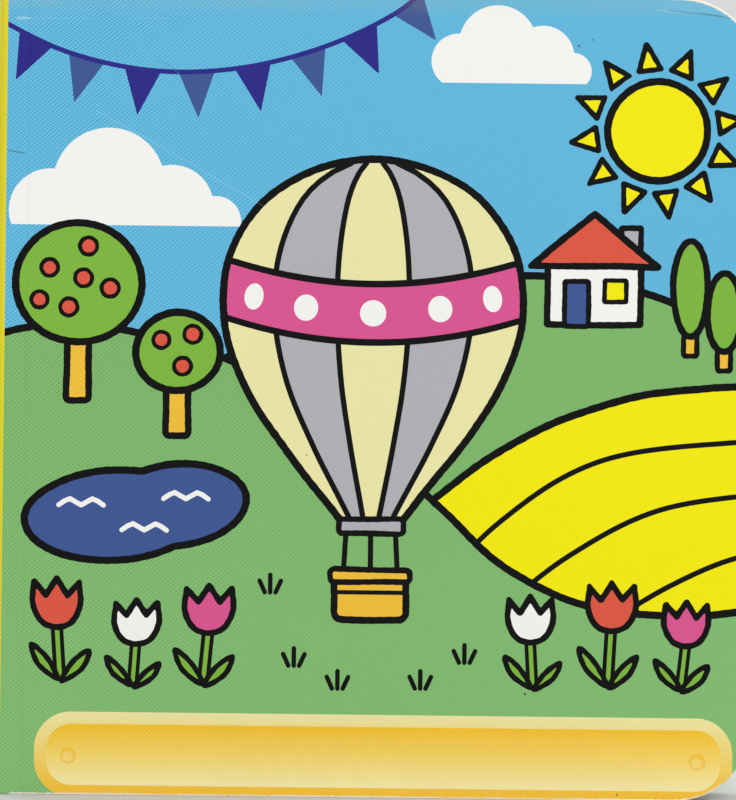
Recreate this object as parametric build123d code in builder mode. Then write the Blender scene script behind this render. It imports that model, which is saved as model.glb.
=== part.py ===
"""Board book, closed and standing on its tail edge.

Frame: millimetres, +Z towards the head of the book, the front cover faces -Y,
the spine is on the -X side and the fore-edge on the +X side. The origin is on
the floor, under the middle of the closed book.
"""
import os

from build123d import *

# ---- driving dimensions (mm) ------------------------------------------------
WIDTH = 156.5          # spine fold to fore-edge
HEIGHT = 165.0         # tail to head
BOARD = 2.3            # one board: each cover and each leaf
OPENING = 0.65         # air between neighbouring boards, where the lift flaps lie
LEAVES = 4             # thick leaves between the covers
CORNER_R = 16.5        # die-cut rounding of the two fore-edge corners
FOLD_R = 1.8           # outer rounding where a cover folds over to the spine
RIM_R = 0.25           # edge of a cover pressed over by the cutting die
SCORE_AT = 6.0         # pressed score, distance from the spine fold
SCORE_WIDE = 1.4       # width of the score across the cover
SCORE_DEEP = 0.12      # depth of the score
FOLD_CLEAR = 0.3       # the spine panel stands this far inside the folds
SPINE_PLY = 1.15       # thickness of the spine panel
GUTTER = 5.0           # depth of the glued gutter behind the leaves
FLAP_CARD = 0.35       # card of the lift flaps
FLAP_WIDE = 58.0       # lift flap, from its glued edge to its free edge
FLAP_TALL = 64.0       # lift flap, along its glued edge
FLAP_R = 14.0          # rounding of a flap's free corners
FLAP_X = 6.0           # glued edge of a flap
FLAP_Z = 44.0          # lower end of a flap
FLAP_STRIP = 7.0       # glued strip of a flap, up to its crease
FLAP_CREASE = 0.8      # width of the flap's crease
FLAP_CREASE_DEEP = 0.1 # depth of the flap's crease
FLAP_EDGE = 5.0        # rounding of a flap's glued corners

# ---- worked out from them ---------------------------------------------------
BLOCK = LEAVES * BOARD + (LEAVES - 1) * OPENING    # leaves and the air between them
THICK = BLOCK + 2 * (OPENING + BOARD)              # the closed book
X_FOLD = -WIDTH / 2                                # outside of the spine folds
X_FORE = WIDTH / 2                                 # fore-edge
X_BACK = X_FOLD + FOLD_CLEAR + SPINE_PLY           # back of the glued leaves
SCORE_R = ((SCORE_WIDE / 2) ** 2 + SCORE_DEEP**2) / (2 * SCORE_DEEP)
HINGE_Y = BLOCK / 2 + OPENING / 2                  # line that a cover turns about

os.makedirs("parts", exist_ok=True)


def on_plane(edges, axis, value):
    """Edges whose middle lies on the plane axis = value."""
    return edges.filter_by(lambda e: abs(getattr(e.center(), axis) - value) < 1e-4)


# ---- front cover: board with a rounded fold at the spine and a pressed score ---
with BuildPart() as front_cover:
    with BuildSketch(Plane.XY):
        with Locations((0, -THICK / 2 + BOARD / 2)):
            Rectangle(WIDTH, BOARD)
        fold_corner = vertices().sort_by(Axis.X)[:2].sort_by(Axis.Y)[0]
        fillet(fold_corner, radius=FOLD_R)
    extrude(amount=HEIGHT)
    # the two die-cut corners of the fore-edge
    fillet(on_plane(edges().filter_by(Axis.Y), "X", X_FORE), radius=CORNER_R)
    # rim pressed over by the die along head, fore-edge and tail
    rim = faces().filter_by(Plane.XZ).sort_by(Axis.Y)[0].edges()
    fillet(
        rim.filter_by(lambda e: e.center().X > X_FOLD + FOLD_R + 1e-3), radius=RIM_R
    )
    # pressed score beside the fold
    with BuildSketch(Plane.XY):
        with Locations((X_FOLD + SCORE_AT, -THICK / 2 + SCORE_DEEP - SCORE_R)):
            Circle(SCORE_R)
    extrude(amount=HEIGHT, mode=Mode.SUBTRACT)
front_cover.part.label = "front_cover"
export_step(front_cover.part, "parts/front_cover.step")

# ---- back cover: the same board on the other side of the leaves ----------------
with BuildPart() as back_cover:
    with BuildSketch(Plane.XY):
        with Locations((0, THICK / 2 - BOARD / 2)):
            Rectangle(WIDTH, BOARD)
        fold_corner = vertices().sort_by(Axis.X)[:2].sort_by(Axis.Y)[1]
        fillet(fold_corner, radius=FOLD_R)
    extrude(amount=HEIGHT)
    fillet(on_plane(edges().filter_by(Axis.Y), "X", X_FORE), radius=CORNER_R)
    rim = faces().filter_by(Plane.XZ).sort_by(Axis.Y)[-1].edges()
    fillet(
        rim.filter_by(lambda e: e.center().X > X_FOLD + FOLD_R + 1e-3), radius=RIM_R
    )
    with BuildSketch(Plane.XY):
        with Locations((X_FOLD + SCORE_AT, THICK / 2 - SCORE_DEEP + SCORE_R)):
            Circle(SCORE_R)
    extrude(amount=HEIGHT, mode=Mode.SUBTRACT)
back_cover.part.label = "back_cover"
export_step(back_cover.part, "parts/back_cover.step")

# ---- spine panel: the strip of the wrap-around cover between its two folds -----
with BuildPart() as spine:
    with BuildSketch(Plane.XY):
        with Locations((X_FOLD + FOLD_CLEAR + SPINE_PLY / 2, 0)):
            Rectangle(SPINE_PLY, BLOCK)
    extrude(amount=HEIGHT)
spine.part.label = "spine"
export_step(spine.part, "parts/spine.step")

# ---- pages: thick leaves, open at head, tail and fore-edge, glued in the gutter --
with BuildPart() as pages:
    with BuildSketch(Plane.XY):
        with Locations(((X_BACK + X_FORE) / 2, 0)):
            Rectangle(X_FORE - X_BACK, BLOCK)
        # openings between the leaves, each ending in a round fold at the gutter
        slit_start = X_BACK + GUTTER
        slit_long = X_FORE - slit_start + 10.0
        with GridLocations(0, BOARD + OPENING, 1, LEAVES - 1):
            with Locations((slit_start + slit_long / 2, 0)):
                SlotOverall(slit_long, OPENING, mode=Mode.SUBTRACT)
    extrude(amount=HEIGHT)
    fillet(on_plane(edges().filter_by(Axis.Y), "X", X_FORE), radius=CORNER_R)
pages.part.label = "pages"
export_step(pages.part, "parts/pages.step")

# ---- lift flap on the first page: creased card, glued along its strip -----------
with BuildPart() as lift_flap_first:
    with BuildSketch(Plane.XZ.offset(BLOCK / 2)):
        with Locations((FLAP_X + FLAP_WIDE / 2, FLAP_Z + FLAP_TALL / 2)):
            Rectangle(FLAP_WIDE, FLAP_TALL)
        fillet(vertices().sort_by(Axis.X)[:2], radius=FLAP_EDGE)
        fillet(vertices().sort_by(Axis.X)[-2:], radius=FLAP_R)
    extrude(amount=FLAP_CARD)
    with BuildSketch(Plane.XZ.offset(BLOCK / 2 + FLAP_CARD - FLAP_CREASE_DEEP)):
        with Locations((FLAP_X + FLAP_STRIP, FLAP_Z + FLAP_TALL / 2)):
            Rectangle(FLAP_CREASE, FLAP_TALL + 2)
    extrude(amount=FLAP_CREASE_DEEP + 0.5, mode=Mode.SUBTRACT)
lift_flap_first.part.label = "lift_flap_first"
export_step(lift_flap_first.part, "parts/lift_flap_first.step")

# ---- lift flap on the last page, the other way round ----------------------------
with BuildPart() as lift_flap_last:
    with BuildSketch(Plane.XZ.offset(-BLOCK / 2 - FLAP_CARD)):
        with Locations((FLAP_X + FLAP_WIDE / 2, FLAP_Z + FLAP_TALL / 2)):
            Rectangle(FLAP_WIDE, FLAP_TALL)
        fillet(vertices().sort_by(Axis.X)[:2], radius=FLAP_EDGE)
        fillet(vertices().sort_by(Axis.X)[-2:], radius=FLAP_R)
    extrude(amount=FLAP_CARD)
    with BuildSketch(Plane.XZ.offset(-BLOCK / 2 - FLAP_CARD - 0.5)):
        with Locations((FLAP_X + FLAP_STRIP, FLAP_Z + FLAP_TALL / 2)):
            Rectangle(FLAP_CREASE, FLAP_TALL + 2)
    extrude(amount=FLAP_CREASE_DEEP + 0.5, mode=Mode.SUBTRACT)
lift_flap_last.part.label = "lift_flap_last"
export_step(lift_flap_last.part, "parts/lift_flap_last.step")

print("closed thickness", round(THICK, 3), "block", round(BLOCK, 3))
print("cover hinge lines at x", X_FOLD, "y", -round(HINGE_Y, 4), "and", round(HINGE_Y, 4))
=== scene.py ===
"""Looks of a small board book that stands closed on its tail edge.

The printed faces are cut into fields of flat ink by a constrained triangulation, so that
every printed edge is a mesh edge. Lengths in the drawing code are millimetres, with u from
the spine fold to the fore-edge and v from tail to head.
"""
import math

import bpy
import numpy as np
from mathutils import Matrix, Vector
from mathutils.geometry import delaunay_2d_cdt


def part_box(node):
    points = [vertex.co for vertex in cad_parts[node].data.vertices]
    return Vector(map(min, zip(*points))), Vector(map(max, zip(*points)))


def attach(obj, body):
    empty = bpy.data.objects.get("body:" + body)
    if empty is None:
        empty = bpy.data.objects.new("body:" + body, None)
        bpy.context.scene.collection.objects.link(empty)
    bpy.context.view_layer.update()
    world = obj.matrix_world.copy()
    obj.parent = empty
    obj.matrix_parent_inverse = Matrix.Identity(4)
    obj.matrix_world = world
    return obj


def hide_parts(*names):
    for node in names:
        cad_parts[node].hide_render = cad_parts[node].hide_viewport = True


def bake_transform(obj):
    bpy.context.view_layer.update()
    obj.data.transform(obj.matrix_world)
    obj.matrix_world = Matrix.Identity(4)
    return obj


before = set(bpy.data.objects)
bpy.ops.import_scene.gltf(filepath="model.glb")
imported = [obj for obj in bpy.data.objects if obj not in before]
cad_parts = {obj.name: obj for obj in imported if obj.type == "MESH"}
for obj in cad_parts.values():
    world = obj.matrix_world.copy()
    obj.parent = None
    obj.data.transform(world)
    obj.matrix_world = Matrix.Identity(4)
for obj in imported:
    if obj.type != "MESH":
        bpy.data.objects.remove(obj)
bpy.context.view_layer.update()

# ---------------------------------------------------------------- sizes from the frame
MM = 0.001


def box_mm(node):
    lo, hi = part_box(node)
    return np.array(lo) * 1000.0, np.array(hi) * 1000.0


f_lo, f_hi = box_mm("front_cover")
b_lo, b_hi = box_mm("back_cover")
p_lo, p_hi = box_mm("pages")
s_lo, s_hi = box_mm("spine")
WIDTH, HEIGHT, BOARD = f_hi[0] - f_lo[0], f_hi[2] - f_lo[2], f_hi[1] - f_lo[1]
X_FOLD, X_FORE = f_lo[0], f_hi[0]
CORNER = 16.5
FOLD = 1.8
RIM = 0.25
LEAVES = 4
AIR = (p_hi[1] - p_lo[1] - LEAVES * BOARD) / (LEAVES - 1)
HINGE_Y = (f_hi[1] + p_lo[1]) / 2

# ---------------------------------------------------------------- inks, as they look
INKS = {
    "sky": (100, 182, 218),
    "grass": (127, 181, 107),
    "lime": (127, 181, 66),
    "white": (243, 242, 238),
    "yellow": (243, 232, 22),
    "spine": (225, 212, 49),
    "violet": (66, 89, 147),
    "deep": (48, 46, 134),
    "grey": (178, 176, 181),
    "cream": (234, 228, 168),
    "pink": (217, 88, 145),
    "red": (219, 90, 70),
    "gold": (239, 190, 62),
    "black": (20, 18, 19),
}
# how much of the dot screen shows in each ink
SCREEN = {
    "sky": 1.3, "grass": 0.95, "lime": 0.55, "white": 0.0, "yellow": 0.0, "spine": 0.0,
    "violet": 0.5, "deep": 0.2, "grey": 0.7, "cream": 0.45, "pink": 0.45, "red": 0.45,
    "gold": 0.7, "black": 0.0,
}
GAIN = 1.0      # what the studio light gives back from a white sheet
HAZE = 0.0075    # what the gloss adds


def linear(rgb):
    c = np.asarray(rgb, float) / 255.0
    return np.where(c <= 0.04045, c / 12.92, ((c + 0.055) / 1.055) ** 2.4)


def albedo(rgb):
    """The reflectance that looks like this screen colour under the studio light."""
    return np.clip((linear(rgb) - HAZE) / GAIN, 0.0008, 0.92)


# ---------------------------------------------------------------- shapes by distance
def turned(x, y, cx, cy, deg):
    a = math.radians(deg)
    c, s = math.cos(a), math.sin(a)
    dx, dy = x - cx, y - cy
    return dx * c + dy * s, -dx * s + dy * c


def disc(cx, cy, r):
    return lambda x, y: np.hypot(x - cx, y - cy) - r, (cx - r, cy - r, cx + r, cy + r)


def oval(cx, cy, rx, ry, deg=0.0):
    m = max(rx, ry)

    def f(x, y):
        px, py = turned(x, y, cx, cy, deg)
        k0 = np.hypot(px / rx, py / ry)
        k1 = np.hypot(px / rx**2, py / ry**2)
        return np.where(k1 > 1e-9, k0 * (k0 - 1) / np.maximum(k1, 1e-9), -min(rx, ry))

    return f, (cx - m, cy - m, cx + m, cy + m)


def rbox(cx, cy, hx, hy, r=0.0, deg=0.0):
    m = math.hypot(hx, hy)

    def f(x, y):
        px, py = turned(x, y, cx, cy, deg)
        qx, qy = np.abs(px) - hx + r, np.abs(py) - hy + r
        far = np.hypot(np.maximum(qx, 0), np.maximum(qy, 0))
        return far + np.minimum(np.maximum(qx, qy), 0) - r

    return f, (cx - m, cy - m, cx + m, cy + m)


def box_of(p):
    p = np.asarray(p, float)
    return p[:, 0].min(), p[:, 1].min(), p[:, 0].max(), p[:, 1].max()


def to_line(x, y, a, b):
    """Squared distance to the stretch from a to b."""
    ex, ey = b[0] - a[0], b[1] - a[1]
    t = ((x - a[0]) * ex + (y - a[1]) * ey) / max(ex * ex + ey * ey, 1e-12)
    t = np.clip(t, 0, 1)
    return (x - a[0] - t * ex) ** 2 + (y - a[1] - t * ey) ** 2


def poly(points):
    p = np.asarray(points, float)
    q = np.roll(p, -1, 0)

    def f(x, y):
        x, y = np.asarray(x, float), np.asarray(y, float)
        d = np.full(x.shape, 1e18)
        inside = np.zeros(x.shape, bool)
        for a, b in zip(p, q):
            d = np.minimum(d, to_line(x, y, a, b))
            if a[1] != b[1]:
                at = (b[0] - a[0]) * (y - a[1]) / (b[1] - a[1]) + a[0]
                inside ^= ((a[1] > y) != (b[1] > y)) & (x < at)
        d = np.sqrt(d)
        return np.where(inside, -d, d)

    return f, box_of(p)


def smooth(points, closed, step=1.4):
    """Points of a centripetal curve through the given ones."""
    p = np.asarray(points, float)
    n, out = len(p), []
    for i in range(n if closed else n - 1):
        if closed:
            a, b, c, d = p[(i - 1) % n], p[i], p[(i + 1) % n], p[(i + 2) % n]
        else:
            b, c = p[i], p[i + 1]
            a = p[i - 1] if i else 2 * b - c
            d = p[i + 2] if i + 2 < n else 2 * c - b
        t0 = 0.0
        t1 = t0 + max(np.linalg.norm(b - a), 1e-6) ** 0.5
        t2 = t1 + max(np.linalg.norm(c - b), 1e-6) ** 0.5
        t3 = t2 + max(np.linalg.norm(d - c), 1e-6) ** 0.5
        for t in np.linspace(t1, t2, max(2, int(np.linalg.norm(c - b) / step)), endpoint=False):
            a1 = (t1 - t) / (t1 - t0) * a + (t - t0) / (t1 - t0) * b
            a2 = (t2 - t) / (t2 - t1) * b + (t - t1) / (t2 - t1) * c
            a3 = (t3 - t) / (t3 - t2) * c + (t - t2) / (t3 - t2) * d
            b1 = (t2 - t) / (t2 - t0) * a1 + (t - t0) / (t2 - t0) * a2
            b2 = (t3 - t) / (t3 - t1) * a2 + (t - t1) / (t3 - t1) * a3
            out.append((t2 - t) / (t2 - t1) * b1 + (t - t1) / (t2 - t1) * b2)
    if not closed:
        out.append(p[-1])
    return np.array(out)


def blob(points, step=0.8):
    return poly(smooth(points, True, step))


def stroke(points, w, curved=True):
    p = smooth(points, False) if curved else np.asarray(points, float)

    def f(x, y):
        x, y = np.asarray(x, float), np.asarray(y, float)
        d = np.full(x.shape, 1e18)
        for a, b in zip(p[:-1], p[1:]):
            d = np.minimum(d, to_line(x, y, a, b))
        return np.sqrt(d) - w / 2

    x0, y0, x1, y1 = box_of(p)
    return f, (x0 - w, y0 - w, x1 + w, y1 + w)


def boxes(s):
    return np.array([b for _, b in s])


def join(*s):
    b = boxes(s)
    return (
        lambda x, y: np.minimum.reduce([f(x, y) for f, _ in s]),
        (b[:, 0].min(), b[:, 1].min(), b[:, 2].max(), b[:, 3].max()),
    )


def meet(*s):
    b = boxes(s)
    return (
        lambda x, y: np.maximum.reduce([f(x, y) for f, _ in s]),
        (b[:, 0].max(), b[:, 1].max(), b[:, 2].min(), b[:, 3].min()),
    )


def less(a, b):
    return lambda x, y: np.maximum(a[0](x, y), -b[0](x, y)), a[1]


def grow(s, d):
    x0, y0, x1, y1 = s[1]
    return lambda x, y: s[0](x, y) - d, (x0 - d, y0 - d, x1 + d, y1 + d)


def hand(s, amount=0.1):
    """The slightly uneven line of a drawn edge."""
    def f(x, y):
        slow = np.sin(0.31 * x + 0.17 * y) + np.sin(0.13 * x - 0.37 * y + 1.3)
        quick = np.sin(1.9 * x + 1.1 * y) * np.sin(1.3 * x - 2.3 * y + 0.6)
        return s[0](x, y) + amount * (0.6 * slow + 0.5 * quick)

    return f, s[1]


def fading(lo, hi, a, b, screen=0.4):
    """Ink that runs from a at height lo to b at height hi."""
    a, b = np.array(a, float), np.array(b, float)

    def ink(x, y):
        t = np.clip((np.asarray(y, float) - lo) / (hi - lo), 0, 1)[..., None]
        return a + (b - a) * t

    ink.screen = screen
    return ink


class Print:
    """Fields of ink, the later ones on top. seen under 1 only tints what is below."""

    def __init__(self):
        self.fields = []

    def add(self, shape, ink, seen=1.0, screen=None):
        if screen is None:
            screen = SCREEN.get(ink, 0.4) if isinstance(ink, str) else getattr(ink, "screen", 0.4)
        self.fields.append((shape[0], shape[1], ink, seen, screen))

    def lined(self, shape, ink, w=1.55):
        s = hand(shape)
        self.add(grow(s, w / 2), "black")
        self.add(grow(s, -w / 2), ink)

    def draw(self, points, w=1.2, ink="black", curved=True, seen=1.0):
        self.add(stroke(points, w, curved), ink, seen)


def colour_at(ink, x, y):
    if callable(ink):
        return ink(x, y)
    rgb = INKS[ink] if isinstance(ink, str) else ink
    return np.broadcast_to(np.asarray(rgb, float), np.shape(x) + (3,))


# ---------------------------------------------------------------- outlines of the fields
STEP = 0.25
PAIRS = {
    1: "LB", 2: "BR", 3: "LR", 4: "RT", 6: "BT", 7: "LT", 8: "TL", 9: "BT",
    11: "RT", 12: "LR", 13: "BR", 14: "LB", 5: "LTBR", 10: "LBRT",
}


def thinned(p, tol):
    """Fewer points of an open line, none of the others further than tol from it."""
    keep = np.zeros(len(p), bool)
    keep[[0, -1]] = True
    todo = [(0, len(p) - 1)]
    while todo:
        i, j = todo.pop()
        if j - i < 2:
            continue
        d = np.sqrt(to_line(p[i + 1 : j, 0], p[i + 1 : j, 1], p[i], p[j]))
        k = int(d.argmax())
        if d[k] > tol:
            k += i + 1
            keep[k] = True
            todo += [(i, k), (k, j)]
    return p[keep]


def contours(f, box, frame_box, tol=0.012):
    """Lines along which f is 0, near frame_box, as lists of points."""
    block = 8
    size = STEP * block
    x0, y0 = max(box[0], frame_box[0]) - 2 * STEP, max(box[1], frame_box[1]) - 2 * STEP
    x1, y1 = min(box[2], frame_box[2]) + 2 * STEP, min(box[3], frame_box[3]) + 2 * STEP
    if x1 <= x0 or y1 <= y0:
        return []
    # the grid is shifted by an odd amount so that straight printed edges miss its nodes
    x0, y0 = x0 - 0.0371, y0 - 0.0413
    cx, cy = int(math.ceil((x1 - x0) / size)), int(math.ceil((y1 - y0) / size))
    gx, gy = np.meshgrid(x0 + (np.arange(cx) + 0.5) * size, y0 + (np.arange(cy) + 0.5) * size)
    coarse = f(gx, gy)
    near = np.abs(coarse) < 1.5 * size
    nx, ny = cx * block, cy * block
    node = np.zeros((ny + 1, nx + 1), bool)
    cell = np.repeat(np.repeat(near, block, 0), block, 1)
    for di in (0, 1):
        for dj in (0, 1):
            node[di : ny + di, dj : nx + dj] |= cell
    d = np.full(node.shape, 1.0)
    ii, jj = np.nonzero(node)
    if not len(ii):
        return []
    d[ii, jj] = f(x0 + jj * STEP, y0 + ii * STEP)
    s = d < 0
    case = s[:-1, :-1] + 2 * s[:-1, 1:] + 4 * s[1:, 1:] + 8 * s[1:, :-1]
    ci, cj = np.nonzero(cell & (case > 0) & (case < 15))
    links = {}
    for i, j, c in zip(ci.tolist(), cj.tolist(), case[ci, cj].tolist()):
        at = {"B": (0, i, j), "T": (0, i + 1, j), "L": (1, i, j), "R": (1, i, j + 1)}
        ends = PAIRS[c]
        for a, b in zip(ends[::2], ends[1::2]):
            links.setdefault(at[a], []).append(at[b])
            links.setdefault(at[b], []).append(at[a])

    def place(e):
        k, i, j = e
        a = d[i, j]
        b = d[i + 1, j] if k else d[i, j + 1]
        t = a / (a - b)
        return (x0 + (j + (0 if k else t)) * STEP, y0 + (i + (t if k else 0)) * STEP)

    lines, used = [], set()
    starts = [e for e in links if len(links[e]) == 1] + list(links)
    for e in starts:
        if e in used:
            continue
        chain, here = [e], e
        used.add(e)
        while True:
            after = [n for n in links[here] if n not in used]
            if not after:
                break
            here = after[0]
            used.add(here)
            chain.append(here)
        closed = len(chain) > 2 and e in links[here]
        p = np.array([place(c) for c in chain])
        if closed:
            far = int(np.hypot(*(p - p[0]).T).argmax())
            a = thinned(p[: far + 1], tol)
            b = thinned(np.vstack([p[far:], p[:1]]), tol)
            p = np.vstack([a, b[1:]])
        else:
            p = thinned(p, tol)
        if len(p) > 1:
            lines.append(p)
    return lines


def cut(points, edges, outline):
    """Triangulates inside an outline: points, triangles, edges and the input edges each came from."""
    v, e, t, _, oe, of = delaunay_2d_cdt([Vector(p) for p in points], edges, [list(outline)], 0, 1e-5, True)
    t = [tuple(x) for x, inside in zip(t, of) if len(inside)]
    return (
        np.array([(p.x, p.y) for p in v]),
        np.array(t, int).reshape(-1, 3),
        np.array([tuple(x) for x in e], int).reshape(-1, 2),
        oe,
    )


def coloured(p, tris, fields):
    """Per triangle: a number that tells its field, its corners' colours and its dot screen."""
    corners = p[tris]
    mid = corners.mean(1)
    mark = np.zeros(len(tris), np.int64)
    rgb = np.zeros((len(tris), 3, 3))
    dots = np.zeros(len(tris))
    for k, (f, b, ink, seen, screen) in enumerate(fields):
        close = np.nonzero(
            (mid[:, 0] > b[0] - 0.1) & (mid[:, 0] < b[2] + 0.1) & (mid[:, 1] > b[1] - 0.1) & (mid[:, 1] < b[3] + 0.1)
        )[0]
        if not len(close):
            continue
        inside = close[f(mid[close, 0], mid[close, 1]) < 0]
        if not len(inside):
            continue
        c = corners[inside]
        new = colour_at(ink, c[..., 0], c[..., 1])
        rgb[inside] = rgb[inside] * (1 - seen) + new * seen
        if seen >= 1:
            mark[inside], dots[inside] = k + 1, screen
        else:
            mark[inside] = (mark[inside] * 1009 + k + 1) % 1000000007
    return mark, rgb, dots


def partition(outline, fields, forced=()):
    """Cuts the area inside a closed outline into triangles of one ink each."""
    outline = np.asarray(outline, float)
    x0, y0, x1, y1 = box_of(outline)
    near = (x0 - 0.5, y0 - 0.5, x1 + 0.5, y1 + 0.5)
    points, edges = [tuple(p) for p in outline], []
    n = len(outline)
    edges += [(i, (i + 1) % n) for i in range(n)]
    for line in forced:
        base = len(points)
        points += [tuple(p) for p in line]
        edges += [(base + i, base + i + 1) for i in range(len(line) - 1)]
    fixed = len(edges)
    for f, b, _, _, _ in fields:
        for line in contours(f, b, near):
            base = len(points)
            closed = np.allclose(line[0], line[-1])
            m = len(line) - 1 if closed else len(line)
            points += [tuple(p) for p in line[:m]]
            edges += [(base + i, base + (i + 1) % m) for i in range(m if closed else m - 1)]
    p, t, e, origin = cut(points, edges, range(n))
    mark, _, _ = coloured(p, t, fields)
    sides = {}
    for k, tri in enumerate(t.tolist()):
        for a, b in ((0, 1), (1, 2), (2, 0)):
            sides.setdefault(frozenset((tri[a], tri[b])), []).append(k)
    keep = []
    for (a, b), source in zip(e.tolist(), origin):
        by = sides.get(frozenset((a, b)))
        if not by:
            continue
        if len(by) == 1 or mark[by[0]] != mark[by[1]] or any(s < fixed for s in source):
            keep.append((a, b))
    loop, _ = border(t)
    used = sorted({i for pair in keep for i in pair} | set(loop))
    new = {old: i for i, old in enumerate(used)}
    p, t, _, _ = cut(p[used], [(new[a], new[b]) for a, b in keep], [new[i] for i in loop])
    a, b, c = p[t[:, 0]], p[t[:, 1]], p[t[:, 2]]
    area = (b[:, 0] - a[:, 0]) * (c[:, 1] - a[:, 1]) - (b[:, 1] - a[:, 1]) * (c[:, 0] - a[:, 0])
    t = np.where(area[:, None] < 0, t[:, ::-1], t)
    mark, rgb, dots = coloured(p, t, fields)
    used = np.unique(t)
    new = np.zeros(len(p), int)
    new[used] = np.arange(len(used))
    return p[used], new[t], rgb, dots


def border(tris):
    """The outer edge of a triangulated area as an ordered loop, with the triangle at each step."""
    after = {}
    owner = {}
    for k, tri in enumerate(tris.tolist()):
        for a, b in ((tri[0], tri[1]), (tri[1], tri[2]), (tri[2], tri[0])):
            owner[(a, b)] = k
    for a, b in owner:
        if (b, a) not in owner:
            after[a] = b
    start = min(after)
    loop, here = [start], after[start]
    while here != start and len(loop) <= len(after):
        loop.append(here)
        here = after[here]
    if len(loop) != len(after):
        raise RuntimeError("the border of a printed face isn't one loop")
    return loop, [owner[(a, after[a])] for a in loop]


# ---------------------------------------------------------------- boards
class Outline:
    """A rectangle with rounded corners, each side set in by an amount that depends on depth."""

    def __init__(self, w, h, radii, spine_inset, rim_inset):
        self.w, self.h, self.r = w, h, radii  # radii: tail fore, head fore, head spine, tail spine
        self.a, self.b = spine_inset, rim_inset

    def at(self, side, t, d):
        a, b, w, h = self.a(d), self.b(d), self.w, self.h
        r0, r1, r2, r3 = self.r
        left0, left1 = (r3 if r3 else a), (r2 if r2 else a)
        if side == 0:
            return left0 + t * (w - r0 - left0), b
        if side == 1:
            q = -math.pi / 2 + t * math.pi / 2
            return w - r0 + (r0 - b) * math.cos(q), r0 + (r0 - b) * math.sin(q)
        if side == 2:
            return w - b, r0 + t * (h - r1 - r0)
        if side == 3:
            q = t * math.pi / 2
            return w - r1 + (r1 - b) * math.cos(q), h - r1 + (r1 - b) * math.sin(q)
        if side == 4:
            return w - r1 + t * (left1 - w + r1), h - b
        if side == 5:
            q = math.pi / 2 + t * math.pi / 2
            return r2 + (r2 - b) * math.cos(q), h - r2 + (r2 - b) * math.sin(q)
        low, high = (r3 if r3 else b), h - (r2 if r2 else b)
        if side == 6:
            return a, high + t * (low - high)
        q = math.pi + t * math.pi / 2
        return r3 + (r3 - b) * math.cos(q), r3 + (r3 - b) * math.sin(q)

    def sides(self):
        return [0, 1, 2, 3, 4] + ([5] if self.r[2] else []) + [6] + ([7] if self.r[3] else [])

    def points(self, d, gap=3.0, arc=20):
        out = []
        for s in self.sides():
            p, q = np.array(self.at(s, 0, d)), np.array(self.at(s, 1, d))
            n = arc if s in (1, 3, 5, 7) else max(1, int(round(np.hypot(*(q - p)) / gap)))
            out += [self.at(s, k / n, d) for k in range(n)]
        return np.array(out)

    def find(self, u, v, d):
        """The side and the share along it of a point on the outline at this depth."""
        best = None
        for s in self.sides():
            p, q = np.array(self.at(s, 0, d)), np.array(self.at(s, 1, d))
            if s in (1, 3, 5, 7):
                r = {1: 0, 3: 1, 5: 2, 7: 3}[s]
                rad = self.r[r]
                cx = self.w - rad if s in (1, 3) else rad
                cy = rad if s in (1, 7) else self.h - rad
                q0 = {1: -math.pi / 2, 3: 0.0, 5: math.pi / 2, 7: math.pi}[s]
                ang = (math.atan2(v - cy, u - cx) - q0) % (2 * math.pi)
                t = ang / (math.pi / 2)
                if t > 2:
                    t = t - 4
                t = min(max(t, 0.0), 1.0)
            else:
                e = q - p
                t = float(np.clip(((u - p[0]) * e[0] + (v - p[1]) * e[1]) / max(e @ e, 1e-12), 0, 1))
            x, y = self.at(s, t, d)
            gap = math.hypot(x - u, y - v)
            if best is None or gap < best[0] - 1e-6:
                best = (gap, s, t)
        return best[1], best[2]


def quarter(r, d):
    """How far a rounded edge of radius r is set in at depth d."""
    if d >= r:
        return 0.0
    return r - math.sqrt(max(r * r - (r - d) ** 2, 0.0))


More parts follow.
